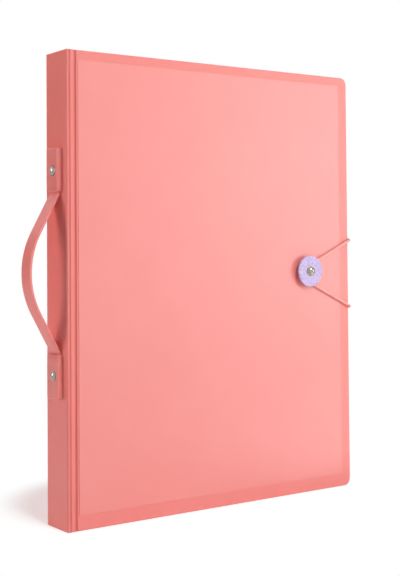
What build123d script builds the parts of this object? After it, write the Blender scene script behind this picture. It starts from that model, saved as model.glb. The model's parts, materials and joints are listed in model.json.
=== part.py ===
from build123d import *
import math
import os

# Drawing portfolio: a hard case that stands on its long edge.
# Millimetres. X runs from the spine to the fore edge, the front cover faces -Y, Z is up.
# The origin is the middle of the case's footprint, on the surface that it stands on.

# Outside sizes of the closed case
case_width = 259.0
case_depth = 30.0
case_height = 330.0

# Covers and spine
board = 2.4
cover_corner_radius = 5.8
cover_edge_round = 0.8
end_edge_round = 0.4

# Creased corners between the spine and the covers
corner_bevel = 0.7
crease_inset = 2.3
crease_groove_radius = 0.6
spine_score_radius = 0.3
crease_gap = 0.1

# Hinge strip and hinge groove beside each spine corner
strip_width = 3.8
groove_width = 1.1
groove_depth = 0.9
groove_lip_round = 0.4
web_thickness = 0.8

# Facing sheets that leave a margin round the cover
facing_thickness = 0.3
facing_top_margin = 6.9
facing_bottom_margin = 10.4
facing_fore_margin = 9.5
facing_hinge_margin = 1.7
facing_corner_radius = 1.2

# Lining sheets inside
lining_thickness = 0.4
lining_margin = 4.0
spine_lining_margin = 1.6

# Tray on the back cover
tray_setback = 2.5
tray_wall = 2.2
tray_base_thickness = 1.5
tray_spine_gap = 2.5
lid_clearance = 0.3
tray_corner_radius = 1.2
tray_wall_round = 0.5

# Handle
handle_center_z = 176.0
handle_gap = 112.4
tab_height = 30.2
tab_width = 15.8
tab_thickness = 3.7
tab_edge_round = 0.7
tab_corner_radius = 0.8
tab_end_wall = 3.0
tab_line_width = 0.5
tab_line_depth = 0.3
tab_line_spacing = 1.3
tab_line_count = 2
strap_width = 12.6
strap_thickness = 2.0
strap_edge_round = 0.5
strap_bow = 24.0
strap_lean = 28.8
strap_root_radius = 5.0
strap_clearance = 0.1

# Rivets of the handle, a little in front of the tabs' middle
rivet_setback = 14.5
rivet_front_shift = 1.5
rivet_head_radius = 3.3
rivet_head_height = 1.4
rivet_flange_radius = 3.6
rivet_flange_height = 0.3
rivet_shank_radius = 1.6
rivet_washer_radius = 4.5
rivet_washer_thickness = 0.6
rivet_set_radius = 2.5
rivet_set_height = 0.7
hole_clearance = 0.05

# Button on the front cover
button_inset = 44.4
button_z = 173.5
disc_radius = 12.1
disc_thickness = 2.0
disc_edge_round = 0.6
neck_radius = 2.2
neck_height = 2.9
button_head_radius = 4.0
button_head_height = 2.7
button_flange_radius = 4.3
button_flange_thickness = 0.3
button_shank_radius = 1.4
button_washer_radius = 4.5

# Elastic closure
cord_radius = 1.1
cord_gap = 0.3
cord_bend_radius = 2.4
cord_loop_radius = 5.7
loop_corner_share = 0.97
loop_shift = 0.6
loop_drop = 2.1
front_wrap_rise = 24.7
front_wrap_fall = 29.6
back_wrap_rise = 26.0
back_wrap_fall = 29.5
eyelet_rise = 28.0
eyelet_fall = 32.0
eyelet_inset = 15.0
eyelet_flange_radius = 3.4
eyelet_flange_thickness = 0.5
eyelet_wall = 0.5
eyelet_bore_clearance = 0.2
knot_radius = 2.9
knot_height = 3.8
knot_waist = 0.5

# Planes of the closed case
spine_x = -case_width / 2
fore_x = case_width / 2
front_y = -case_depth / 2
back_y = case_depth / 2
spine_inner_x = spine_x + board
front_inner_y = front_y + board
back_inner_y = back_y - board
crease_x = spine_x + crease_inset
groove_start_x = crease_x + strip_width
cover_start_x = groove_start_x + groove_width
facing_start_x = cover_start_x + facing_hinge_margin
no_margins = (0, 0, 0)
facing_margins = (facing_bottom_margin, facing_top_margin, facing_fore_margin)
lining_margins = (lining_margin,) * 3
front_facing_y = front_y - facing_thickness
back_facing_y = back_y + facing_thickness

# Inside faces of the tray
tray_base_y = back_inner_y - tray_base_thickness
tray_lip_y = front_inner_y + lining_thickness + lid_clearance
tray_start_x = spine_inner_x + tray_spine_gap
tray_end_x = fore_x - tray_setback
tray_top_z = case_height - tray_setback
tray_height = case_height - 2 * tray_setback
tray_wall_height = tray_base_y - tray_lip_y

# Handle stations
tab_mouth_z = (
    handle_center_z - handle_gap / 2,
    handle_center_z + handle_gap / 2,
)
rivet_y = -rivet_front_shift
rivet_z = (tab_mouth_z[0] - rivet_setback, tab_mouth_z[1] + rivet_setback)
rivet_hole_radius = rivet_shank_radius + hole_clearance

# Button and elastic stations
button_x = fore_x - button_inset
neck_y = front_facing_y - neck_height
disc_face_y = neck_y - disc_thickness
button_hole_radius = button_shank_radius + hole_clearance
loop_x = button_x + loop_shift
loop_z = button_z - loop_drop
strand_y = front_facing_y - cord_gap / 2 - cord_radius
wrap_x = fore_x + cord_gap + cord_radius
eyelet_x = fore_x - eyelet_inset
eyelet_z = (button_z - eyelet_fall, button_z + eyelet_rise)
eyelet_bore_radius = cord_radius + eyelet_bore_clearance
eyelet_hole_radius = eyelet_bore_radius + eyelet_wall + hole_clearance
eyelet_top_y = back_facing_y + eyelet_flange_thickness
eyelet_seat_y = tray_base_y - eyelet_flange_thickness

os.makedirs("parts", exist_ok=True)


def save(piece, name):
    piece.part.label = name
    export_step(piece.part, "parts/" + name + ".step")


# Cover outlines, seen from the front: square at the hinge, round at the fore edge
# The margins stand at the bottom, at the top and at the fore edge, in this order
def cover_outline(start_x, margins, radius):
    bottom, top, fore = margins
    with BuildSketch(Plane.XZ) as outline:
        width = fore_x - fore - start_x
        height = case_height - bottom - top
        with Locations((start_x + width / 2, bottom + height / 2)):
            Rectangle(width, height)
        fillet(outline.vertices().group_by(Axis.X)[-1], radius)
    return outline.sketch


# Outer long edges of a board that stands on its end
def round_cover_edges(cover, face):
    edges = face.edges()
    hinge_edge = edges.sort_by(Axis.X)[0]
    rim = [edge for edge in edges if edge != hinge_edge]
    fillet(rim, cover_edge_round)


# Front cover

with BuildPart() as front_board:
    with BuildSketch(Plane.XZ.offset(-front_inner_y)):
        add(cover_outline(cover_start_x, no_margins, cover_corner_radius))
    extrude(amount=board)
    round_cover_edges(front_board, front_board.faces().sort_by(Axis.Y)[0])
    lip = front_board.edges().filter_by(Axis.Z).group_by(Axis.X)[0].sort_by(Axis.Y)[0]
    fillet(lip, groove_lip_round)
    with Locations(Plane((button_x, front_y, button_z), x_dir=(1, 0, 0), z_dir=(0, -1, 0))):
        Hole(button_hole_radius)
save(front_board, "front_board")

with BuildPart() as front_facing:
    with BuildSketch(Plane.XZ.offset(-front_y)):
        add(cover_outline(facing_start_x, facing_margins, facing_corner_radius))
        with Locations((button_x, button_z)):
            Circle(button_hole_radius, mode=Mode.SUBTRACT)
    extrude(amount=facing_thickness)
save(front_facing, "front_facing")

with BuildPart() as front_lining:
    with BuildSketch(Plane.XZ.offset(-front_inner_y)):
        add(cover_outline(facing_start_x, lining_margins, facing_corner_radius))
        with Locations((button_x, button_z)):
            Circle(button_hole_radius, mode=Mode.SUBTRACT)
    extrude(amount=-lining_thickness)
save(front_lining, "front_lining")

# Hinge strip between the corner crease and the hinge groove

with BuildPart() as front_strip:
    with BuildSketch(Plane.XY):
        with Locations((groove_start_x, front_y)):
            Rectangle(strip_width - crease_gap, board, align=(Align.MAX, Align.MIN))
        with Locations((crease_x, front_y)):
            Circle(crease_groove_radius, mode=Mode.SUBTRACT)
    extrude(amount=case_height)
    outer = front_strip.faces().sort_by(Axis.Y)[0]
    fillet(outer.edges().filter_by(Axis.X), end_edge_round)
    lip = front_strip.edges().filter_by(Axis.Z).group_by(Axis.X)[-1].sort_by(Axis.Y)[0]
    fillet(lip, groove_lip_round)
save(front_strip, "front_strip")

# Flexible web at the bottom of the hinge groove
with BuildPart() as groove_web:
    with BuildSketch(Plane.XY):
        with Locations((groove_start_x, front_y + groove_depth)):
            Rectangle(groove_width - crease_gap, web_thickness, align=(Align.MIN, Align.MIN))
    extrude(amount=case_height)
save(groove_web, "groove_web")

# Spine with its bevelled corners, scored along each bend

with BuildPart() as spine_board:
    with BuildSketch(Plane.XY):
        with BuildLine():
            half = Polyline(
                (spine_inner_x, 0),
                (spine_inner_x, front_inner_y + crease_gap),
                (crease_x, front_inner_y + crease_gap),
                (crease_x, front_y),
                (spine_x + corner_bevel, front_y),
                (spine_x, front_y + corner_bevel),
                (spine_x, 0),
            )
            mirror(half, about=Plane.XZ)
        make_face()
    extrude(amount=case_height)
    ends = spine_board.edges().group_by(Axis.Z)
    for end in (ends[0], ends[-1]):
        fillet(end.filter_by(lambda edge: edge.center().X < spine_x + corner_bevel), end_edge_round)
    with BuildSketch(Plane.XY):
        for side in (-1, 1):
            with Locations((crease_x, side * back_y)):
                Circle(crease_groove_radius)
            with Locations((spine_x, side * (back_y - corner_bevel))):
                Circle(spine_score_radius)
    extrude(amount=case_height, mode=Mode.SUBTRACT)
    with BuildSketch(Plane.YZ.offset(spine_x)):
        with Locations(*[(rivet_y, z) for z in rivet_z]):
            Circle(rivet_hole_radius)
    extrude(amount=board, mode=Mode.SUBTRACT)
save(spine_board, "spine_board")

with BuildPart() as spine_lining:
    with BuildSketch(Plane.YZ.offset(spine_inner_x)):
        with Locations((0, case_height / 2)):
            Rectangle(
                case_depth - 2 * board - 2 * spine_lining_margin,
                case_height - 2 * lining_margin,
            )
        with Locations(*[(rivet_y, z) for z in rivet_z]):
            Circle(rivet_hole_radius, mode=Mode.SUBTRACT)
    extrude(amount=lining_thickness)
save(spine_lining, "spine_lining")

# Back cover: the same outline as the front, with its strip and groove in one piece

with BuildPart() as back_board:
    with BuildSketch(Plane.XZ.offset(-back_y)):
        add(cover_outline(crease_x + crease_gap, no_margins, cover_corner_radius))
    extrude(amount=board)
    round_cover_edges(back_board, back_board.faces().sort_by(Axis.Y)[-1])
    with BuildSketch(Plane.XY):
        with Locations((crease_x, back_y)):
            Circle(crease_groove_radius)
        with Locations((groove_start_x, back_y)):
            Rectangle(groove_width, groove_depth, align=(Align.MIN, Align.MAX))
    extrude(amount=case_height, mode=Mode.SUBTRACT)
    outside = [Plane((eyelet_x, back_y, z), x_dir=(-1, 0, 0), z_dir=(0, 1, 0)) for z in eyelet_z]
    with Locations(*outside):
        Hole(eyelet_hole_radius)
save(back_board, "back_board")

with BuildPart() as back_facing:
    with BuildSketch(Plane.XZ.offset(-back_y)):
        add(cover_outline(facing_start_x, facing_margins, facing_corner_radius))
        with Locations(*[(eyelet_x, z) for z in eyelet_z]):
            Circle(eyelet_hole_radius, mode=Mode.SUBTRACT)
    extrude(amount=-facing_thickness)
save(back_facing, "back_facing")

# Tray glued to the inside of the back cover, open towards the spine

with BuildPart() as tray_base:
    with BuildSketch(Plane.XZ.offset(-back_inner_y)) as tray_outline:
        with Locations(((tray_start_x + tray_end_x) / 2, case_height / 2)):
            Rectangle(tray_end_x - tray_start_x, tray_height)
        fillet(tray_outline.vertices().group_by(Axis.X)[-1], tray_corner_radius)
        with Locations(*[(eyelet_x, z) for z in eyelet_z]):
            Circle(eyelet_hole_radius, mode=Mode.SUBTRACT)
    extrude(amount=tray_base_thickness)
save(tray_base, "tray_base")

with BuildPart() as tray_fore_wall:
    with BuildSketch(Plane.XZ.offset(-tray_base_y)) as wall_outline:
        with Locations((tray_end_x, case_height / 2)):
            Rectangle(tray_wall, tray_height, align=(Align.MAX, Align.CENTER))
        fillet(wall_outline.vertices().group_by(Axis.X)[-1], tray_corner_radius)
    extrude(amount=tray_wall_height)
    fillet(tray_fore_wall.faces().sort_by(Axis.Y)[0].edges(), tray_wall_round)
save(tray_fore_wall, "tray_fore_wall")

for name, outer_z, inward in (("tray_bottom_wall", tray_setback, 1), ("tray_top_wall", tray_top_z, -1)):
    with BuildPart() as end_wall:
        with BuildSketch(Plane.XZ.offset(-tray_base_y)):
            with Locations((tray_start_x, outer_z + inward * tray_wall / 2)):
                Rectangle(tray_end_x - tray_wall - tray_start_x, tray_wall, align=(Align.MIN, Align.CENTER))
        extrude(amount=tray_wall_height)
        fillet(end_wall.faces().sort_by(Axis.Y)[0].edges().filter_by(Axis.X), tray_wall_round)
    save(end_wall, name)


# Turned pieces: a half profile of radius and height, spun about the height axis
def turning_plane(origin, radial, outward):
    return Plane(origin=origin, x_dir=radial, z_dir=Vector(*radial).cross(Vector(*outward)))


def turn(section, plane):
    revolve(section, axis=Axis(plane.origin, plane.y_dir))


# A shallow dome from its top on the axis down to its rim
def dome(top, rim_radius, rim):
    rise = top - rim
    ball = (rim_radius**2 + rise**2) / (2 * abs(rise))
    lean = math.asin(min(1.0, rim_radius / ball)) / 2
    drop = math.copysign(ball * (1 - math.cos(lean)), rise)
    return ThreePointArc((0, top), (ball * math.sin(lean), top - drop), (rim_radius, rim))


# A rivet with a domed head on a flange, a shank through its grip and a set end inside
def rivet(plane, head_radius, head_height, flange_radius, flange_height, shank_radius, grip):
    with BuildSketch(plane) as section:
        with BuildLine():
            dome(flange_height + head_height, head_radius, flange_height)
            Polyline(
                (head_radius, flange_height),
                (flange_radius, flange_height),
                (flange_radius, 0),
                (shank_radius, 0),
                (shank_radius, -grip),
                (rivet_set_radius, -grip),
            )
            dome(-grip - rivet_set_height, rivet_set_radius, -grip)
            Line((0, -grip - rivet_set_height), (0, flange_height + head_height))
        make_face()
    turn(section.sketch, plane)


def ring(plane, inner_radius, outer_radius, bottom, top):
    with BuildSketch(plane) as section:
        with Locations((inner_radius, bottom)):
            Rectangle(outer_radius - inner_radius, top - bottom, align=(Align.MIN, Align.MIN))
    turn(section.sketch, plane)


# Handle: a strap held under two riveted tabs

for name, mouth_z, away in (("lower_tab", tab_mouth_z[0], -1), ("upper_tab", tab_mouth_z[1], 1)):
    with BuildPart() as tab:
        with BuildSketch(Plane.YZ.offset(spine_x)) as tab_outline:
            with Locations((0, mouth_z + away * tab_height / 2)):
                Rectangle(tab_width, tab_height)
            fillet(tab_outline.vertices(), tab_corner_radius)
        extrude(amount=-tab_thickness)
        fillet(tab.faces().sort_by(Axis.X)[0].edges(), tab_edge_round)
        pocket_length = tab_height - tab_end_wall
        with BuildSketch(Plane.YZ.offset(spine_x)):
            with Locations((0, mouth_z + away * pocket_length / 2)):
                Rectangle(strap_width + 2 * strap_clearance, pocket_length)
        extrude(amount=-strap_thickness - strap_clearance, mode=Mode.SUBTRACT)
        with BuildSketch(Plane.YZ.offset(spine_x)):
            with Locations((rivet_y, mouth_z + away * rivet_setback)):
                Circle(rivet_hole_radius)
        extrude(amount=-tab_thickness, mode=Mode.SUBTRACT)
        for line in range(tab_line_count):
            line_z = mouth_z + away * (line + 1) * tab_line_spacing
            with BuildSketch(Plane.XY.offset(line_z)):
                with Locations((spine_x, 0)):
                    Rectangle(2 * tab_thickness, tab_width)
                    Rectangle(
                        2 * (tab_thickness - tab_line_depth),
                        tab_width - 2 * tab_line_depth,
                        mode=Mode.SUBTRACT,
                    )
            extrude(amount=away * tab_line_width, mode=Mode.SUBTRACT)
    save(tab, name)

# The strap leaves each tab at the same lean and bows out in one arc between them
lean_angle = math.radians(strap_lean)
root_x = spine_x - strap_thickness / 2
root_tangent = strap_root_radius * math.tan(lean_angle / 2)
strap_half_span = handle_gap / 2 - root_tangent
peak = strap_half_span * math.tan(lean_angle)
bow_radius = (peak - (strap_bow - strap_thickness)) / (1 / math.cos(lean_angle) - 1)
strap_tail = tab_height - tab_end_wall - strap_clearance
with BuildPart() as handle_strap:
    with BuildSketch(Plane.XZ.offset(strap_width / 2)):
        with BuildLine():
            FilletPolyline(
                (root_x, tab_mouth_z[0] - strap_tail),
                (root_x, handle_center_z - strap_half_span),
                (root_x - peak, handle_center_z),
                (root_x, handle_center_z + strap_half_span),
                (root_x, tab_mouth_z[1] + strap_tail),
                radius=(strap_root_radius, bow_radius, strap_root_radius),
            )
        trace(line_width=strap_thickness)
    extrude(amount=-strap_width)
    long_faces = handle_strap.faces().sort_by(Axis.Y)
    fillet(long_faces[0].edges() + long_faces[-1].edges(), strap_edge_round)
    with BuildSketch(Plane.YZ.offset(spine_x)):
        with Locations(*[(rivet_y, z) for z in rivet_z]):
            Circle(rivet_hole_radius)
    extrude(amount=-strap_thickness, mode=Mode.SUBTRACT)
save(handle_strap, "handle_strap")

rivet_grip = tab_thickness + board + lining_thickness + rivet_washer_thickness
with BuildPart() as handle_rivets:
    for z in rivet_z:
        rivet(
            turning_plane((spine_x - tab_thickness, rivet_y, z), (0, 0, 1), (-1, 0, 0)),
            rivet_head_radius,
            rivet_head_height,
            rivet_flange_radius,
            rivet_flange_height,
            rivet_shank_radius,
            rivet_grip,
        )
save(handle_rivets, "handle_rivets")

with BuildPart() as handle_washers:
    for z in rivet_z:
        ring(
            turning_plane((spine_inner_x + lining_thickness, rivet_y, z), (0, 0, 1), (1, 0, 0)),
            rivet_hole_radius,
            rivet_washer_radius,
            0,
            rivet_washer_thickness,
        )
save(handle_washers, "handle_washers")

# Button: a felt disc held off the cover by a neck, on one long rivet

button_base = turning_plane((button_x, front_facing_y, button_z), (1, 0, 0), (0, -1, 0))
with BuildPart() as button_neck:
    ring(button_base, button_hole_radius, neck_radius, 0, neck_height)
save(button_neck, "button_neck")

with BuildPart() as button_disc:
    ring(button_base, button_hole_radius, disc_radius, neck_height, neck_height + disc_thickness)
    rims = button_disc.edges().filter_by(GeomType.CIRCLE).group_by(SortBy.RADIUS)[-1]
    fillet(rims, disc_edge_round)
save(button_disc, "button_disc")

cover_stack = facing_thickness + board + lining_thickness + rivet_washer_thickness
button_grip = disc_thickness + neck_height + cover_stack
with BuildPart() as button_rivet:
    rivet(
        turning_plane((button_x, disc_face_y, button_z), (1, 0, 0), (0, -1, 0)),
        button_head_radius,
        button_head_height,
        button_flange_radius,
        button_flange_thickness,
        button_shank_radius,
        button_grip,
    )
save(button_rivet, "button_rivet")

with BuildPart() as button_washer:
    ring(
        turning_plane((button_x, front_inner_y + lining_thickness, button_z), (1, 0, 0), (0, 1, 0)),
        button_hole_radius,
        button_washer_radius,
        0,
        rivet_washer_thickness,
    )
save(button_washer, "button_washer")

# Elastic closure: eyelets through the back cover, a knot inside each, one loop of round elastic

with BuildPart() as elastic_eyelets:
    for z in eyelet_z:
        plane = turning_plane((eyelet_x, eyelet_seat_y, z), (1, 0, 0), (0, 1, 0))
        length = eyelet_top_y - eyelet_seat_y
        with BuildSketch(plane) as eyelet_section:
            with Locations((eyelet_bore_radius, 0)):
                Rectangle(eyelet_wall, length, align=(Align.MIN, Align.MIN))
                Rectangle(
                    eyelet_flange_radius - eyelet_bore_radius,
                    eyelet_flange_thickness,
                    align=(Align.MIN, Align.MIN),
                )
            with Locations((eyelet_bore_radius, length)):
                Rectangle(
                    eyelet_flange_radius - eyelet_bore_radius,
                    eyelet_flange_thickness,
                    align=(Align.MIN, Align.MAX),
                )
        turn(eyelet_section.sketch, plane)
save(elastic_eyelets, "elastic_eyelets")

with BuildPart() as elastic_knots:
    for z in eyelet_z:
        plane = turning_plane((eyelet_x, eyelet_seat_y, z), (1, 0, 0), (0, -1, 0))
        with BuildSketch(plane) as knot_section:
            Rectangle(knot_radius - knot_waist, knot_height, align=(Align.MIN, Align.MIN))
            with Locations((0, knot_height / 4), (0, 3 * knot_height / 4)):
                Ellipse(knot_radius, knot_height / 4)
            Rectangle(knot_radius, knot_height, align=(Align.MAX, Align.MIN), mode=Mode.SUBTRACT)
        turn(knot_section.sketch, plane)
save(elastic_knots, "elastic_knots")


# Where the strand that comes from the fore edge meets the side of the loop, off the loop's middle
def loop_corner(rise):
    run = wrap_x - loop_x
    slope = math.atan2(rise, run) - math.asin(cord_loop_radius / math.hypot(rise, run))
    return cord_loop_radius * (1 / math.cos(slope) - math.tan(slope))


upper_wrap_z = button_z + front_wrap_rise
lower_wrap_z = button_z - front_wrap_fall
arch_y = eyelet_top_y + cord_bend_radius
back_wrap_y = back_y + cord_gap + cord_radius
loop_side_x = loop_x - cord_loop_radius
elastic_points = (
    (eyelet_x, eyelet_seat_y, eyelet_z[1]),
    (eyelet_x, arch_y, eyelet_z[1]),
    (wrap_x, back_wrap_y, button_z + back_wrap_rise),
    (wrap_x, strand_y, upper_wrap_z),
    (loop_side_x, strand_y, loop_z + loop_corner(upper_wrap_z - loop_z)),
    (loop_side_x, strand_y, loop_z - loop_corner(loop_z - lower_wrap_z)),
    (wrap_x, strand_y, lower_wrap_z),
    (wrap_x, back_wrap_y, button_z - back_wrap_fall),
    (eyelet_x, arch_y, eyelet_z[0]),
    (eyelet_x, eyelet_seat_y, eyelet_z[0]),
)
edge_bends = (cord_bend_radius,) * 3
neck_bends = (cord_loop_radius * loop_corner_share,) * 2
with BuildPart() as elastic_loop:
    with BuildLine() as elastic_route:
        FilletPolyline(*elastic_points, radius=edge_bends + neck_bends + edge_bends)
    with BuildSketch(Plane(elastic_points[0], z_dir=(0, 1, 0))):
        Circle(cord_radius)
    sweep(path=elastic_route.line)
save(elastic_loop, "elastic_loop")

route_length = sum(edge.length for edge in elastic_route.edges())
section_area = math.pi * cord_radius**2
print("elastic length", round(route_length, 1))
print("bend radii", edge_bends + neck_bends + edge_bends)
print("volume over section times length", elastic_loop.part.volume / (section_area * route_length))
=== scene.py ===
import json
import math

import bmesh
import bpy
from mathutils import Matrix, Vector, noise


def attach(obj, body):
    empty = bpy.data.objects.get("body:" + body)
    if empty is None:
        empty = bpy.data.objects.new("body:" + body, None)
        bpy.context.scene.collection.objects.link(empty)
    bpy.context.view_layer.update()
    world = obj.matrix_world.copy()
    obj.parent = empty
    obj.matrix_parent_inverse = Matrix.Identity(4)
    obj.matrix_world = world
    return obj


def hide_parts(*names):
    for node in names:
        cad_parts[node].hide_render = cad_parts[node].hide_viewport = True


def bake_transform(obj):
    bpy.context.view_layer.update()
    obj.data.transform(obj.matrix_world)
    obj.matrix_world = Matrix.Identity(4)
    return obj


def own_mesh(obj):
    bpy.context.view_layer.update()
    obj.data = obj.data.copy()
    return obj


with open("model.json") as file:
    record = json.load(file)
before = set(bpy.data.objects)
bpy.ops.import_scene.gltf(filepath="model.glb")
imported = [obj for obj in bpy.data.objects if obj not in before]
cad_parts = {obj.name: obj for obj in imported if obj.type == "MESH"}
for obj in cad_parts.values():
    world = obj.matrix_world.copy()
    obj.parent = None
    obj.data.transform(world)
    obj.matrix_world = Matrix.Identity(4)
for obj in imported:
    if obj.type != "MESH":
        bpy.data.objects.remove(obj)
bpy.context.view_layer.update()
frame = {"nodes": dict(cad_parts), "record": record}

# Drawing portfolio. Settings are in millimetres unless a note says otherwise, in the frame of the
# CAD part: X from the spine to the fore edge, the front cover faces -Y, Z up from the table

mm = 0.001
cadNodes = frame["nodes"]
scene = bpy.context.scene
scene.view_settings.view_transform = "Standard"


def place(point):
    return Vector(point) * mm


def toLinear(hexCode):
    channels = [int(hexCode[i:i + 2], 16) / 255 for i in (1, 3, 5)]
    return tuple(c / 12.92 if c <= 0.04045 else ((c + 0.055) / 1.055) ** 2.4 for c in channels) + (1.0,)


# Camera: a short telephoto at the left of the spine corner, just above the case's middle, looking
# very slightly up

cameraSettings = {
    "place": (-503.0, -697.6, 193.75),
    "tilt": 91.717,        # degrees from straight down
    "turn": -35.398,       # degrees
    "roll": -0.418,        # degrees
    "lens": 70.745,
    "sensorWidth": 36.0,
    "shiftY": -0.1314,     # share of the sensor's width
    "seenFrom": 10.0,      # nearest and farthest that it sees
    "seenTo": 60000.0,
}


def makeCamera(settings):
    data = bpy.data.cameras.new("portraitCamera")
    camera = bpy.data.objects.new("portraitCamera", data)
    scene.collection.objects.link(camera)
    data.sensor_width = settings["sensorWidth"]
    data.lens = settings["lens"]
    data.shift_y = settings["shiftY"]
    data.clip_start, data.clip_end = settings["seenFrom"] * mm, settings["seenTo"] * mm
    camera.location = place(settings["place"])
    tilt = Matrix.Rotation(math.radians(settings["tilt"]), 4, "X")
    turn = Matrix.Rotation(math.radians(settings["turn"]), 4, "Z")
    roll = Matrix.Rotation(math.radians(settings["roll"]), 4, "Z")
    camera.rotation_euler = (turn @ tilt @ roll).to_euler()
    scene.camera = camera


makeCamera(cameraSettings)
print("camera placed")


# Small tools for curves and meshes

def linkMesh(mesh, name):
    mesh.name = name
    piece = bpy.data.objects.new(name, mesh)
    scene.collection.objects.link(piece)
    return piece


def meshFromBmesh(bm, name, smooth=True):
    mesh = bpy.data.meshes.new(name)
    bm.to_mesh(mesh)
    bm.free()
    for face in mesh.polygons:
        face.use_smooth = smooth
    return linkMesh(mesh, name)


def makeCurve(name, points, bevel=0.0, sides=1, kind="NURBS", weights=None, resolution=48):
    data = bpy.data.curves.new(name, "CURVE")
    data.dimensions = "3D"
    data.resolution_u = resolution
    data.bevel_depth = bevel
    data.bevel_resolution = sides
    data.use_fill_caps = bevel > 0
    spline = data.splines.new(kind)
    spline.points.add(len(points) - 1)
    for i, (control, point) in enumerate(zip(spline.points, points)):
        control.co = (*point, weights[i] if weights else 1.0)
    if kind == "NURBS":
        spline.order_u = 3
        spline.use_endpoint_u = True
    curve = bpy.data.objects.new(name, data)
    scene.collection.objects.link(curve)
    return curve


# Reads a curve's evaluated mesh and removes the curve
def takeMesh(curve):
    graph = bpy.context.evaluated_depsgraph_get()
    mesh = bpy.data.meshes.new_from_object(curve.evaluated_get(graph))
    bpy.data.objects.remove(curve)
    return mesh


# Points at equal steps along a smooth line through the control points
def centreline(points, weights, step):
    mesh = takeMesh(makeCurve("route", points, weights=weights))
    line = [v.co.copy() for v in mesh.vertices]
    bpy.data.meshes.remove(mesh)
    lengths = [0.0]
    for a, b in zip(line, line[1:]):
        lengths.append(lengths[-1] + (b - a).length)
    count = max(2, round(lengths[-1] / step))
    even, j = [], 0
    for i in range(count + 1):
        along = lengths[-1] * i / count
        while j < len(line) - 2 and lengths[j + 1] < along:
            j += 1
        span = lengths[j + 1] - lengths[j]
        even.append(line[j].lerp(line[j + 1], (along - lengths[j]) / span if span else 0.0))
    return even, lengths[-1]


# Two directions across the line at each point, carried along without twist
def crossFrames(line):
    tangents = []
    for i in range(len(line)):
        ahead, behind = line[min(i + 1, len(line) - 1)], line[max(i - 1, 0)]
        tangents.append((ahead - behind).normalized())
    across = tangents[0].orthogonal().normalized()
    frames = []
    for i, tangent in enumerate(tangents):
        if i:
            turn = tangents[i - 1].rotation_difference(tangent)
            across = (turn @ across).normalized()
        across = (across - tangent * across.dot(tangent)).normalized()
        frames.append((across, tangent.cross(across)))
    return frames


# Round elastic: yarns braided one over one round a rubber core

elasticCord = {
    "diameter": 2.2,
    "yarnRadius": 0.26,
    "yarnSides": 0,         # bevel resolution: a yarn is too thin to show more than four sides
    "coreSides": 2,
    "wave": 0.11,           # how far a yarn rises and sinks as it crosses the others
    "yarnsEachWay": 8,
    "pitch": 9.0,
    "step": 0.28,
    "edgeWeight": 3.0,      # holds the line close to the edges that it bends round
    "keptWhenFreed": 0.42,  # share of its reach along X when the cover is open
}
elasticStations = {
    "eyeletX": 114.5,
    "eyeletZ": (201.5, 141.5),
    "knotY": 10.6,
    "archY": 18.2,          # top of the arch outside each eyelet
    "foreX": 130.9,         # past the fore edges of the covers
    "backY": 16.4,
    "frontY": -16.55,
    "neckX": 80.0,          # far side of the button's neck
    "buttonZ": 173.5,
}


# Rows of a place and how the line holds to it: 1 is loosely, edge is closely
def elasticRoute(at):
    eyeletX, foreX, neckX = at["eyeletX"], at["foreX"], at["neckX"]
    knotY, archY, backY, frontY = at["knotY"], at["archY"], at["backY"], at["frontY"]
    upper, lower = at["eyeletZ"]
    return [
        (eyeletX, knotY, upper, 1), (eyeletX, archY, upper, "edge"), (foreX, backY, 199.5, "edge"),
        (foreX, 0.0, 198.9, 1), (foreX, frontY, 198.2, "edge"), (119.0, frontY, 192.8, 1),
        (86.3, frontY, 177.9, 1), (neckX, frontY, 175.05, 1),
        (neckX, frontY, 167.8, 1), (86.4, frontY, 164.8, 1),
        (119.2, frontY, 149.4, 1), (foreX, frontY, 143.9, "edge"), (foreX, 0.0, 143.9, 1),
        (foreX, backY, 144.0, "edge"), (eyeletX, archY, lower, "edge"), (eyeletX, knotY, lower, 1),
    ]


def braidedCord(name, points, weights, settings):
    line, length = centreline(points, weights, settings["step"] * mm)
    frames = crossFrames(line)
    bm = bmesh.new()
    middle = settings["diameter"] / 2 - settings["yarnRadius"] - settings["wave"]
    coreLine = line[::2] + [line[-1]]  # the core hardly shows, so half the points do
    core = takeMesh(makeCurve(
        "core", coreLine, middle * mm, settings["coreSides"], "POLY", resolution=1,
    ))
    bm.from_mesh(core)
    bpy.data.meshes.remove(core)
    count, pitch = settings["yarnsEachWay"], settings["pitch"] * mm
    for way in (1, -1):
        for k in range(count):
            yarn = []
            for i, (centre, (across, up)) in enumerate(zip(line, frames)):
                along = length * i / (len(line) - 1)
                angle = way * 2 * math.pi * along / pitch + 2 * math.pi * k / count
                crossing = 2 * math.pi * along * count / pitch
                lift = middle + way * settings["wave"] * math.cos(crossing)
                yarn.append(centre + (across * math.cos(angle) + up * math.sin(angle)) * lift * mm)
            mesh = takeMesh(makeCurve(
                "yarn", yarn, settings["yarnRadius"] * mm, settings["yarnSides"], "POLY", resolution=1,
            ))
            bm.from_mesh(mesh)
            bpy.data.meshes.remove(mesh)
    piece = meshFromBmesh(bm, name)
    print(name, "length", round(length / mm, 1), "mm, faces", len(piece.data.polygons))
    return piece


def routeOf(rows, settings):
    points = [place(row[:3]) for row in rows]
    weights = [settings["edgeWeight"] if row[3] == "edge" else float(row[3]) for row in rows]
    return points, weights


elasticRows = elasticRoute(elasticStations)
elasticPiece = braidedCord("elasticBand", *routeOf(elasticRows, elasticCord), elasticCord)
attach(elasticPiece, "back_case")
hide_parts("elastic_loop")
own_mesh(elasticPiece)
print("elastic braided")


# Overhand knots that stop the elastic behind its eyelets

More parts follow.
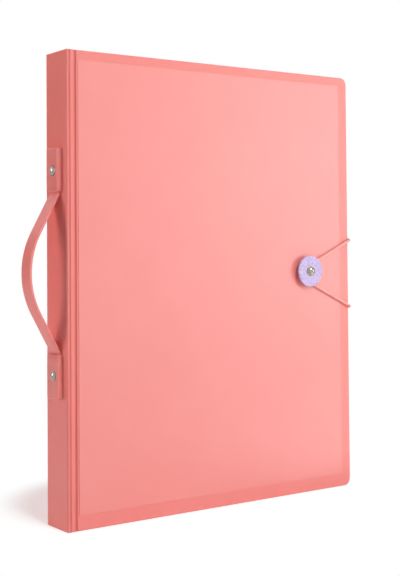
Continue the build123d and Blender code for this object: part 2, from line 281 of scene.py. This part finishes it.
stopKnot = {
    "enterY": 11.4,         # inside the eyelet
    "centreY": 8.7,
    "reach": 1.75,
    "steadyReach": 0.62,    # share of the reach that stays while the loops swing in and out
    "crossings": 1.5,       # swings in and out, and up and down, on each turn
    "rise": 0.85,
    "points": 13,
    "pointsPerTurn": 8,
    "firstPoint": 1.5,      # in points, where the first loop starts
    "tail": 2.7,
    "tailLean": (-0.4, -0.8, 0.5),
    "diameter": 1.75,       # drawn tight
    "yarnRadius": 0.21,
    "wave": 0.08,
    "pitch": 7.5,
}


def knotRoute(x, enterZ, side, settings):
    points = [Vector((x, settings["enterY"], enterZ)), Vector((x, elasticStations["knotY"], enterZ))]
    steady = settings["steadyReach"]
    for i in range(settings["points"]):
        angle = 2 * math.pi * (i + settings["firstPoint"]) / settings["pointsPerTurn"]
        swing = settings["crossings"] * angle
        reach = settings["reach"] * (steady + (1 - steady) * math.cos(swing))
        points.append(Vector((
            x + reach * math.cos(angle),
            settings["centreY"] + settings["rise"] * math.sin(swing),
            enterZ + side * reach * math.sin(angle),
        )))
    leanX, leanY, leanZ = settings["tailLean"]
    points.append(points[-1] + Vector((leanX, leanY, side * leanZ)) * settings["tail"])
    return [point * mm for point in points]


drawnTight = {key: stopKnot[key] for key in ("diameter", "yarnRadius", "wave", "pitch")}
knotCord = dict(elasticCord, **drawnTight)
knotPieces = []
for number, (eyeletZ, side) in enumerate(zip(elasticStations["eyeletZ"], (1, -1)), start=1):
    route = knotRoute(elasticStations["eyeletX"], eyeletZ, side, stopKnot)
    knot = braidedCord("elasticKnot" + str(number), route, None, knotCord)
    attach(knot, "back_case")
    knotPieces.append(knot)
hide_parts("elastic_knots")
print("knots tied")


# Felt disc of the button: pressed felt, dished under the rivet, with a soft cut edge

feltDisc = {
    "centreX": 85.1,
    "faceY": -20.2,
    "backY": -18.2,
    "radius": 12.1,
    "bore": 1.5,
    "dishRadius": 5.4,
    "dishDepth": 0.16,
    "edgeRound": 0.62,
    "matting": 0.07,        # height of the matted surface
    "grain": 0.55,
    "pressedRim": 1.0,      # beside the bore, where the rivet keeps the felt flat
    "faceRings": 22,
    "edgeRings": 6,
    "backRings": 8,
    "steps": 128,
    "mergeWithin": 0.002,
}


def makeFeltDisc(settings):
    front, back, bore = settings["faceY"], settings["backY"], settings["bore"]
    rounding, dishDepth = settings["edgeRound"], settings["dishDepth"]
    flat = settings["radius"] - rounding  # radius where the round edge starts
    faceRings, edgeRings, backRings = settings["faceRings"], settings["edgeRings"], settings["backRings"]
    profile = [(bore, back), (bore, front + dishDepth)]
    for i in range(1, faceRings + 1):
        r = bore + (flat - bore) * i / faceRings
        profile.append((r, front + dishDepth * (1 - min(1.0, r / settings["dishRadius"]) ** 3)))
    for i in range(1, edgeRings + 1):
        angle = math.pi / 2 * i / edgeRings
        profile.append((flat + rounding * math.sin(angle), front + rounding * (1 - math.cos(angle))))
    for i in range(edgeRings + 1):
        angle = math.pi / 2 * (1 - i / edgeRings)
        profile.append((flat + rounding * math.sin(angle), back - rounding * (1 - math.cos(angle))))
    for i in range(1, backRings):
        profile.append((flat - (flat - bore) * i / backRings, back))
    bm = bmesh.new()
    x, z = settings["centreX"], elasticStations["buttonZ"]
    verts = [bm.verts.new(place((x + r, y, z))) for r, y in profile]
    edges = [bm.edges.new(pair) for pair in zip(verts, verts[1:] + verts[:1])]
    bmesh.ops.spin(
        bm, geom=verts + edges, cent=place((x, 0, z)), axis=(0, 1, 0),
        angle=2 * math.pi, steps=settings["steps"], use_merge=True,
    )
    bmesh.ops.remove_doubles(bm, verts=bm.verts, dist=settings["mergeWithin"] * mm)
    bmesh.ops.recalc_face_normals(bm, faces=bm.faces)
    for vert in bm.verts:
        away = math.hypot(vert.co.x - x * mm, vert.co.z - z * mm)
        if away > (bore + settings["pressedRim"]) * mm:
            spot = vert.co / (settings["grain"] * mm)
            vert.co += vert.normal * noise.noise(spot) * settings["matting"] * mm
    return meshFromBmesh(bm, "feltButton")


feltPiece = makeFeltDisc(feltDisc)
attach(feltPiece, "front_cover")
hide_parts("button_disc")
print("felt disc pressed")


# Wrapping paper that sinks into the folds outside, and joint cloth behind them inside. Each strip runs
# the whole height. Its path is seen from above, in X and Y. Its bodies, and its bend over from the first
# body to the second, are listed, but the strips are drawn fixed and nothing here reads these two
creaseSkin = {
    "bodies": ("spine", "hinge_strip"),
    "thickness": 0.12,
    "bend": ((-127.8, -15.0), (-126.6, -15.0)),
    "path": (
        (-127.95, -14.98), (-127.7, -14.94), (-127.45, -14.76), (-127.2, -14.68), (-126.95, -14.76),
        (-126.7, -14.94), (-126.45, -14.98),
    ),
}
grooveSkin = {
    "bodies": ("hinge_strip", "front_cover"),
    "thickness": 0.1,
    "bend": ((-123.4, -15.0), (-122.3, -15.0)),
    "path": (
        (-123.85, -14.99), (-123.5, -14.87), (-123.34, -14.62), (-123.18, -14.4), (-122.85, -14.3),
        (-122.52, -14.4), (-122.36, -14.62), (-122.2, -14.87), (-121.85, -14.99),
    ),
}
cornerCloth = {
    "bodies": ("spine", "hinge_strip"),
    "thickness": 0.2,
    "bend": ((-127.1, -11.6), (-125.7, -12.6)),
    "path": (
        (-127.0, -11.05), (-127.0, -11.6), (-127.0, -12.1), (-126.95, -12.4), (-126.6, -12.5),
        (-126.1, -12.5), (-125.7, -12.5), (-124.7, -12.5),
    ),
}
grooveCloth = {
    "bodies": ("hinge_strip", "front_cover"),
    "thickness": 0.2,
    "bend": ((-123.6, -12.5), (-122.1, -12.5)),
    "path": (
        (-124.65, -12.5), (-123.6, -12.5), (-123.2, -12.5), (-122.85, -12.5), (-122.5, -12.5),
        (-122.1, -12.5), (-120.7, -12.5),
    ),
}
stripReach = (0.5, 329.5)  # from the foot to the top


# The same strip at the back cover, which folds straight onto the spine
def atBack(settings):
    flipped = {key: tuple((x, -y) for x, y in settings[key]) for key in ("bend", "path")}
    return dict(settings, bodies=("spine", "back_case"), **flipped)


def makeStrip(name, settings, reach):
    path = [Vector(point) for point in settings["path"]]
    left, right = [], []
    for i, point in enumerate(path):
        along = (path[min(i + 1, len(path) - 1)] - path[max(i - 1, 0)]).normalized()
        across = Vector((-along.y, along.x)) * settings["thickness"] / 2
        left.append(point + across)
        right.append(point - across)
    bm = bmesh.new()
    outline = left + right[::-1]
    foot = bm.faces.new([bm.verts.new(place((*point, reach[0]))) for point in outline])
    grown = bmesh.ops.extrude_face_region(bm, geom=[foot])["geom"]
    risen = [part for part in grown if isinstance(part, bmesh.types.BMVert)]
    bmesh.ops.translate(bm, verts=risen, vec=(0, 0, (reach[1] - reach[0]) * mm))
    bmesh.ops.recalc_face_normals(bm, faces=bm.faces)
    strip = meshFromBmesh(bm, name, smooth=False)
    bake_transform(strip)
    return strip


foldSkins = [
    makeStrip("creaseSkinFront", creaseSkin, stripReach),
    makeStrip("creaseSkinBack", atBack(creaseSkin), stripReach),
    makeStrip("grooveSkin", grooveSkin, stripReach),
]
jointCloths = [
    makeStrip("cornerClothFront", cornerCloth, stripReach),
    makeStrip("grooveCloth", grooveCloth, stripReach),
    makeStrip("cornerClothBack", atBack(cornerCloth), stripReach),
]
print("folds wrapped")


# Materials. A pattern's size is that of one of its marks


def perMetre(size):
    return 1000.0 / size


def newMaterial(name):
    material = bpy.data.materials.new(name)
    material.use_nodes = True
    tree = material.node_tree
    tree.nodes.clear()
    return material, tree


def addNode(tree, kind, settings=None, links=None):
    node = tree.nodes.new(kind)
    for key, value in (settings or {}).items():
        if isinstance(key, int) or key in node.inputs:
            node.inputs[key].default_value = value
        else:
            setattr(node, key, value)
    for key, source in (links or {}).items():
        tree.links.new(source, node.inputs[key])
    return node


# Matt laminated paper over greyboard: a film with a faint eggshell grain, so light spreads softly on it
coverPaper = {
    "colour": "#F28F89",
    "mottle": "#F08C86",
    "mottleSize": 34.0,
    "grainSize": 0.55,      # drawn twice as coarse as the real film's grain, so that it shows
    "fibreSize": 0.18,
    "fibreShare": 0.35,     # how much the fibres under the film add to its relief
    "roughness": (0.32, 0.37),
    "bump": 0.02,
    "gloss": 0.4,           # specular level, where 0.5 is plain
    "depthShare": 0.3,      # light goes a little way in and comes out red
    "depth": 3.0,
    "depthTint": (1.0, 0.14, 0.11),
}
# The same film on a separate sheet, a little glossier because nothing was folded or rubbed on it
facingPaper = dict(
    coverPaper, colour="#F08F8A", mottle="#EE8C87", roughness=(0.33, 0.38), gloss=0.8, depthShare=0.0,
)
# The wrap pressed into the folds: a deeper red, painted shade in the creases and groove, and duller
foldPaintedShadePaper = dict(
    coverPaper, colour="#E37770", mottle="#DD7069", roughness=(0.5, 0.6), gloss=0.3, depthShare=0.0,
)


def makeCoatedPaper(name, settings):
    material, tree = newMaterial(name)
    spot = addNode(tree, "ShaderNodeTexCoord").outputs["Object"]
    mottle = addNode(
        tree, "ShaderNodeTexNoise",
        {"Scale": perMetre(settings["mottleSize"]), "Detail": 3.0}, {"Vector": spot},
    )
    grain = addNode(
        tree, "ShaderNodeTexNoise",
        {"Scale": perMetre(settings["grainSize"]), "Detail": 4.0, "Roughness": 0.6}, {"Vector": spot},
    )
    fibre = addNode(
        tree, "ShaderNodeTexNoise",
        {"Scale": perMetre(settings["fibreSize"]), "Detail": 2.0}, {"Vector": spot},
    )
    shade = addNode(
        tree, "ShaderNodeMapRange",
        {"From Min": 0.3, "From Max": 0.7}, {"Value": mottle.outputs["Fac"]},
    )
    colour = addNode(
        tree, "ShaderNodeMix",
        {"data_type": "RGBA", 6: toLinear(settings["colour"]), 7: toLinear(settings["mottle"])},
        {0: shade.outputs["Result"]},
    )
    low, high = settings["roughness"]
    rough = addNode(
        tree, "ShaderNodeMapRange",
        {"From Min": 0.3, "From Max": 0.7, "To Min": low, "To Max": high},
        {"Value": grain.outputs["Fac"]},
    )
    height = addNode(
        tree, "ShaderNodeMath", {"operation": "MULTIPLY_ADD", 1: settings["fibreShare"]},
        {0: fibre.outputs["Fac"], 2: grain.outputs["Fac"]},
    )
    bump = addNode(
        tree, "ShaderNodeBump", {"Strength": 0.6, "Distance": settings["bump"] * mm},
        {"Height": height.outputs["Value"]},
    )
    surface = addNode(
        tree, "ShaderNodeBsdfPrincipled",
        {
            "Specular IOR Level": settings["gloss"], "Subsurface Weight": settings["depthShare"],
            "Subsurface Scale": settings["depth"] * mm, "Subsurface Radius": settings["depthTint"],
        },
        {
            "Base Color": colour.outputs[2], "Roughness": rough.outputs["Result"],
            "Normal": bump.outputs["Normal"],
        },
    )
    addNode(tree, "ShaderNodeOutputMaterial", None, {"Surface": surface.outputs["BSDF"]})
    return material


# Uncoated lining paper: chalky, with short pale and dark fibres
liningPaper = {
    "colour": "#EFB7AF",
    "fleck": "#DE9A92",
    "fleckSize": 0.8,
    "fleckStretch": 0.35,   # along Z, the way the sheet ran through the mill
    "grainSize": 0.25,
    "roughness": 0.85,
    "gloss": 0.35,
    "bump": 0.03,
}


def makeLiningPaper(name, settings):
    material, tree = newMaterial(name)
    spot = addNode(tree, "ShaderNodeTexCoord").outputs["Object"]
    stretch = addNode(
        tree, "ShaderNodeMapping", {"Scale": (1.0, 1.0, settings["fleckStretch"])}, {"Vector": spot},
    )
    fleck = addNode(
        tree, "ShaderNodeTexNoise",
        {"Scale": perMetre(settings["fleckSize"]), "Detail": 5.0, "Roughness": 0.7},
        {"Vector": stretch.outputs["Vector"]},
    )
    grain = addNode(
        tree, "ShaderNodeTexNoise",
        {"Scale": perMetre(settings["grainSize"]), "Detail": 3.0}, {"Vector": spot},
    )
    share = addNode(
        tree, "ShaderNodeMapRange", {"From Min": 0.5, "From Max": 0.75, "To Max": 0.8},
        {"Value": fleck.outputs["Fac"]},
    )
    colour = addNode(
        tree, "ShaderNodeMix",
        {"data_type": "RGBA", 6: toLinear(settings["colour"]), 7: toLinear(settings["fleck"])},
        {0: share.outputs["Result"]},
    )
    bump = addNode(
        tree, "ShaderNodeBump", {"Strength": 0.7, "Distance": settings["bump"] * mm},
        {"Height": grain.outputs["Fac"]},
    )
    surface = addNode(
        tree, "ShaderNodeBsdfPrincipled",
        {"Roughness": settings["roughness"], "Specular IOR Level": settings["gloss"]},
        {"Base Color": colour.outputs[2], "Normal": bump.outputs["Normal"]},
    )
    addNode(tree, "ShaderNodeOutputMaterial", None, {"Surface": surface.outputs["BSDF"]})
    return material


# Moulded soft-touch polypropylene of the strap and its tabs: matt, with a fine spark-eroded skin
strapPlastic = {
    "colour": "#EC8F8B",
    "worn": "#EE9490",
    "wearSize": 9.0,
    "skinSize": 0.4,
    "roughness": (0.34, 0.42),
    "bump": 0.03,
    "ior": 1.49,
    "gloss": 0.4,
    "depthShare": 0.3,
    "depth": 3.0,
    "depthTint": (1.0, 0.14, 0.11),
}


def makeStrapPlastic(name, settings):
    material, tree = newMaterial(name)
    spot = addNode(tree, "ShaderNodeTexCoord").outputs["Object"]
    wear = addNode(
        tree, "ShaderNodeTexNoise",
        {"Scale": perMetre(settings["wearSize"]), "Detail": 4.0}, {"Vector": spot},
    )
    skin = addNode(
        tree, "ShaderNodeTexNoise",
        {"Scale": perMetre(settings["skinSize"]), "Detail": 2.0}, {"Vector": spot},
    )
    share = addNode(
        tree, "ShaderNodeMapRange",
        {"From Min": 0.4, "From Max": 0.7}, {"Value": wear.outputs["Fac"]},
    )
    colour = addNode(
        tree, "ShaderNodeMix",
        {"data_type": "RGBA", 6: toLinear(settings["colour"]), 7: toLinear(settings["worn"])},
        {0: share.outputs["Result"]},
    )
    low, high = settings["roughness"]
    rough = addNode(
        tree, "ShaderNodeMapRange",
        {"From Min": 0.3, "From Max": 0.7, "To Min": low, "To Max": high},
        {"Value": wear.outputs["Fac"]},
    )
    bump = addNode(
        tree, "ShaderNodeBump", {"Strength": 0.5, "Distance": settings["bump"] * mm},
        {"Height": skin.outputs["Fac"]},
    )
    surface = addNode(
        tree, "ShaderNodeBsdfPrincipled",
        {
            "IOR": settings["ior"], "Specular IOR Level": settings["gloss"],
            "Subsurface Weight": settings["depthShare"],
            "Subsurface Scale": settings["depth"] * mm, "Subsurface Radius": settings["depthTint"],
        },
        {
            "Base Color": colour.outputs[2], "Roughness": rough.outputs["Result"],
            "Normal": bump.outputs["Normal"],
        },
    )
    addNode(tree, "ShaderNodeOutputMaterial", None, {"Surface": surface.outputs["BSDF"]})
    return material


# Polished nickel plate on the rivets and eyelets: bright, with hairline handling marks. Its grey is a
# little deeper than clean nickel's, so that the lamps stand out from the white surroundings in it
nickelPlate = {
    "colour": "#9C958D",
    "scratchSize": 0.35,
    "scratchStretch": 0.08,  # along Z, the way that hands rub it
    "roughness": (0.07, 0.15),
}


def makeNickel(name, settings):
    material, tree = newMaterial(name)
    spot = addNode(tree, "ShaderNodeTexCoord").outputs["Object"]
    stretch = addNode(
        tree, "ShaderNodeMapping", {"Scale": (1.0, 1.0, settings["scratchStretch"])}, {"Vector": spot},
    )
    scratch = addNode(
        tree, "ShaderNodeTexNoise",
        {"Scale": perMetre(settings["scratchSize"]), "Detail": 4.0},
        {"Vector": stretch.outputs["Vector"]},
    )
    low, high = settings["roughness"]
    rough = addNode(
        tree, "ShaderNodeMapRange",
        {"From Min": 0.35, "From Max": 0.7, "To Min": low, "To Max": high},
        {"Value": scratch.outputs["Fac"]},
    )
    surface = addNode(
        tree, "ShaderNodeBsdfPrincipled",
        {"Base Color": toLinear(settings["colour"]), "Metallic": 1.0},
        {"Roughness": rough.outputs["Result"]},
    )
    addNode(tree, "ShaderNodeOutputMaterial", None, {"Surface": surface.outputs["BSDF"]})
    return material


# Pressed wool felt of mixed fibres: matt, with dark and pale flecks and a dusty sheen at a low angle
pressedFelt = {
    "colour": "#CDBFEA",
    "dark": "#AFA0DA",
    "pale": "#E6DDF6",
    "fleckSize": 1.3,
    "fibreSize": 0.35,
    "stops": (0.36, 0.5, 0.66),  # where the fleck turns from dark to plain to pale
    "roughness": 0.95,
    "gloss": 0.2,
    "sheen": 0.35,
    "sheenSpread": 0.5,
    "bump": 0.12,
}


def makeFelt(name, settings):
    material, tree = newMaterial(name)
    spot = addNode(tree, "ShaderNodeTexCoord").outputs["Object"]
    fleck = addNode(
        tree, "ShaderNodeTexNoise",
        {"Scale": perMetre(settings["fleckSize"]), "Detail": 4.0, "Roughness": 0.65, "Distortion": 1.2},
        {"Vector": spot},
    )
    fibre = addNode(
        tree, "ShaderNodeTexNoise",
        {"Scale": perMetre(settings["fibreSize"]), "Detail": 3.0, "Distortion": 2.0}, {"Vector": spot},
    )
    ramp = addNode(tree, "ShaderNodeValToRGB", None, {"Fac": fleck.outputs["Fac"]})
    darkEnd, middle, paleEnd = settings["stops"]
    stops = ramp.color_ramp.elements
    stops[0].position, stops[0].color = darkEnd, toLinear(settings["dark"])
    stops[1].position, stops[1].color = paleEnd, toLinear(settings["pale"])
    stops.new(middle).color = toLinear(settings["colour"])
    bump = addNode(
        tree, "ShaderNodeBump", {"Strength": 0.8, "Distance": settings["bump"] * mm},
        {"Height": fibre.outputs["Fac"]},
    )
    surface = addNode(
        tree, "ShaderNodeBsdfPrincipled",
        {
            "Roughness": settings["roughness"], "Specular IOR Level": settings["gloss"],
            "Sheen Weight": settings["sheen"], "Sheen Roughness": settings["sheenSpread"],
            "Sheen Tint": toLinear(settings["pale"]),
        },
        {"Base Color": ramp.outputs["Color"], "Normal": bump.outputs["Normal"]},
    )
    addNode(tree, "ShaderNodeOutputMaterial", None, {"Surface": surface.outputs["BSDF"]})
    return material


# Braided polyester yarn over rubber: silky, with fine filaments of two close shades
braidYarn = {
    "colour": "#FFC6BF",
    "deep": "#F6ABA3",
    "filamentSize": 0.12,
    "roughness": 0.42,
    "sheen": 0.2,
    "sheenSpread": 0.4,
    "bump": 0.02,
}


def makeBraid(name, settings):
    material, tree = newMaterial(name)
    spot = addNode(tree, "ShaderNodeTexCoord").outputs["Object"]
    filament = addNode(
        tree, "ShaderNodeTexNoise",
        {"Scale": perMetre(settings["filamentSize"]), "Detail": 2.0}, {"Vector": spot},
    )
    colour = addNode(
        tree, "ShaderNodeMix",
        {"data_type": "RGBA", 6: toLinear(settings["deep"]), 7: toLinear(settings["colour"])},
        {0: filament.outputs["Fac"]},
    )
    bump = addNode(
        tree, "ShaderNodeBump", {"Strength": 0.5, "Distance": settings["bump"] * mm},
        {"Height": filament.outputs["Fac"]},
    )
    surface = addNode(
        tree, "ShaderNodeBsdfPrincipled",
        {
            "Roughness": settings["roughness"],
            "Sheen Weight": settings["sheen"], "Sheen Roughness": settings["sheenSpread"],
        },
        {"Base Color": colour.outputs[2], "Normal": bump.outputs["Normal"]},
    )
    addNode(tree, "ShaderNodeOutputMaterial", None, {"Surface": surface.outputs["BSDF"]})
    return material


coverWrap = makeCoatedPaper("mattLaminatedPaper", coverPaper)
facingSheet = makeCoatedPaper("mattFacingPaper", facingPaper)
foldPaintedShade = makeCoatedPaper("creasedPaperPaintedShade", foldPaintedShadePaper)
liningSheet = makeLiningPaper("uncoatedLiningPaper", liningPaper)
strapSkin = makeStrapPlastic("softTouchPolypropylene", strapPlastic)
nickel = makeNickel("polishedNickelPlate", nickelPlate)
felt = makeFelt("pressedWoolFelt", pressedFelt)
yarnFinish = makeBraid("braidedPolyesterYarn", braidYarn)
neckPlastic = makeStrapPlastic(
    "mouldedLilacAcetal", dict(strapPlastic, colour="#A795D8", worn="#B3A3DF"),
)
finishes = {
    "cover_board": coverWrap, "tray_board": coverWrap, "facing_paper": facingSheet,
    "lining_paper": liningSheet, "handle_material": strapSkin, "nickel": nickel,
    "neck_plastic": neckPlastic, "button_felt": felt, "elastic_cord": yarnFinish,
}


def dress(piece, material):
    piece.data.materials.clear()
    piece.data.materials.append(material)


for row in frame["record"]["subparts"]:
    dress(cadNodes[row["node"]], finishes[row["material_slot"]])
for piece in [elasticPiece] + knotPieces:
    dress(piece, yarnFinish)
dress(feltPiece, felt)
# The fold skins get the deeper red: painted shade in the creases and the groove
for piece in foldSkins:
    dress(piece, foldPaintedShade)
for piece in jointCloths:
    dress(piece, coverWrap)
print("finishes given")


# Studio: a pale floor that runs into white surroundings, large soft lamps in front, one for the spine

studio = {
    "floorRadius": 9000.0,
    "floorSides": 64,
    # The floor's faint cyan is painted against the pink light that the case throws on the floor near it
    "floorColour": "#F6FFFF",
    "bounceColour": "#F4F2F1",   # what the floor gives back to the case
    "nearCentre": (-20.0, 30.0, 0.0),
    "nearFade": (98.0, 136.0),   # from here to here the lit floor under the case turns plain white
    "nearGlow": 0.37,            # lifts the lit floor towards the white around it
    "worldColour": "#FFFAF8",
    "worldLight": 0.05,
}
lamps = {
    "keySoftbox": {"place": (50, -1700, 1600), "aim": (0, 0, 150), "size": 900, "strength": 11.2},
    "rightSoftbox": {
        "place": (1440, -1240, 250), "aim": (0, 0, 160), "size": 1100, "strength": 3.15,
    },
    "spineSoftbox": {            # warm, because the paper looks redder in its shade than in the light
        "place": (-1700, 1060, 620), "aim": (-130, 0, 150), "size": 780, "strength": 9.1,
        "tint": (1.0, 0.65, 0.59),
    },
    "topSoftbox": {"place": (0, -150, 1900), "aim": (0, 0, 0), "size": 1500, "strength": 0.6},
    "backSoftbox": {"place": (420, 1900, 900), "aim": (0, 0, 160), "size": 1300, "strength": 1.35},
    "leftReflector": {
        "place": (-60, -430, 10), "aim": (-20, 0, 120), "size": 260, "strength": 1.0,
        "tint": (1.0, 0.72, 0.68),
    },
    "rightReflector": {
        "place": (265, -220, 2), "aim": (265, -220, 500), "size": 320, "strength": 1.05,
    },
}


# The white surroundings show to the camera, and in metal and gloss, but light nothing
def showBackground(tree):
    path = addNode(tree, "ShaderNodeLightPath")
    direct = addNode(
        tree, "ShaderNodeMath", {"operation": "MAXIMUM"},
        {0: path.outputs["Is Camera Ray"], 1: path.outputs["Is Transmission Ray"]},
    )
    shown = addNode(
        tree, "ShaderNodeMath", {"operation": "MAXIMUM"},
        {0: direct.outputs["Value"], 1: path.outputs["Is Glossy Ray"]},
    )
    return shown.outputs["Value"]


def makeFloor(settings):
    bm = bmesh.new()
    bmesh.ops.create_circle(
        bm, cap_ends=True, segments=settings["floorSides"], radius=settings["floorRadius"] * mm,
    )
    floor = meshFromBmesh(bm, "studioFloor", smooth=False)
    material, tree = newMaterial("paleStudioFloor")
    spot = addNode(tree, "ShaderNodeTexCoord").outputs["Object"]
    near = addNode(
        tree, "ShaderNodeVectorMath",
        {"operation": "SUBTRACT", 1: place(settings["nearCentre"])}, {0: spot},
    )
    away = addNode(tree, "ShaderNodeVectorMath", {"operation": "LENGTH"}, {0: near.outputs["Vector"]})
    low, high = settings["nearFade"]
    far = addNode(
        tree, "ShaderNodeMapRange",
        {"From Min": low * mm, "From Max": high * mm, "interpolation_type": "SMOOTHSTEP"},
        {"Value": away.outputs["Value"]},
    )
    shown = showBackground(tree)
    share = addNode(
        tree, "ShaderNodeMath", {"operation": "MULTIPLY"}, {0: shown, 1: far.outputs["Result"]},
    )
    lift = addNode(
        tree, "ShaderNodeMath", {"operation": "MULTIPLY", 1: settings["nearGlow"]}, {0: shown},
    )
    paintColour = addNode(
        tree, "ShaderNodeMix",
        {
            "data_type": "RGBA",
            6: toLinear(settings["bounceColour"]), 7: toLinear(settings["floorColour"]),
        },
        {0: shown},
    )
    paint = addNode(tree, "ShaderNodeBsdfDiffuse", None, {"Color": paintColour.outputs[2]})
    halo = addNode(tree, "ShaderNodeEmission", None, {"Strength": lift.outputs["Value"]})
    table = addNode(
        tree, "ShaderNodeAddShader", None, {0: paint.outputs["BSDF"], 1: halo.outputs["Emission"]},
    )
    glow = addNode(tree, "ShaderNodeEmission", {"Strength": 1.0})
    mix = addNode(
        tree, "ShaderNodeMixShader", None,
        {0: share.outputs["Value"], 1: table.outputs["Shader"], 2: glow.outputs["Emission"]},
    )
    addNode(tree, "ShaderNodeOutputMaterial", None, {"Surface": mix.outputs["Shader"]})
    dress(floor, material)


def makeSurroundings(settings):
    world = bpy.data.worlds.new("studioSurroundings")
    scene.world = world
    world.use_nodes = True
    tree = world.node_tree
    tree.nodes.clear()
    soft = addNode(
        tree, "ShaderNodeBackground",
        {"Color": toLinear(settings["worldColour"]), "Strength": settings["worldLight"]},
    )
    white = addNode(tree, "ShaderNodeBackground", {"Color": (1, 1, 1, 1), "Strength": 1.0})
    mix = addNode(
        tree, "ShaderNodeMixShader", None,
        {0: showBackground(tree), 1: soft.outputs["Background"], 2: white.outputs["Background"]},
    )
    addNode(tree, "ShaderNodeOutputWorld", None, {"Surface": mix.outputs["Shader"]})


# Dark cards out of the camera's sight: one gives the rivets' domes a shaded side, the other keeps the
# glare of the white surroundings off the spine
darkCards = {
    "rightCard": {"place": (1500, 500, 500), "aim": (0, 0, 200), "size": 1300},
    "spineCard": {"place": (-1000, 2000, 300), "aim": (-130, 0, 170), "size": 1400},
}
cardColour = "#0B0A0A"


def makeDarkCard(name, settings):
    centre, target = place(settings["place"]), place(settings["aim"])
    facing = (target - centre).to_track_quat("Z", "Y").to_matrix().to_4x4()
    bm = bmesh.new()
    bmesh.ops.create_grid(bm, x_segments=1, y_segments=1, size=settings["size"] * mm / 2)
    bmesh.ops.transform(bm, matrix=Matrix.Translation(centre) @ facing, verts=bm.verts)
    card = meshFromBmesh(bm, name, smooth=False)
    card.visible_camera = False
    material, tree = newMaterial("blackVelvet")
    paint = addNode(tree, "ShaderNodeBsdfDiffuse", {"Color": toLinear(cardColour)})
    addNode(tree, "ShaderNodeOutputMaterial", None, {"Surface": paint.outputs["BSDF"]})
    dress(card, material)


# A lamp's strength is the brightness of its face, where 1 is white
def makeLamp(name, settings):
    data = bpy.data.lights.new(name, "AREA")
    data.shape = "SQUARE"
    data.size = settings["size"] * mm
    data.energy = settings["strength"] * math.pi * data.size ** 2
    data.color = settings.get("tint", (1.0, 1.0, 1.0))
    lamp = bpy.data.objects.new(name, data)
    scene.collection.objects.link(lamp)
    lamp.visible_camera = False
    lamp.location = place(settings["place"])
    towards = place(settings["aim"]) - lamp.location
    lamp.rotation_euler = towards.to_track_quat("-Z", "Y").to_euler()


makeFloor(studio)
makeSurroundings(studio)
for cardName, cardSettings in darkCards.items():
    makeDarkCard(cardName, cardSettings)
for lampName, lampSettings in lamps.items():
    makeLamp(lampName, lampSettings)
print("studio lit")
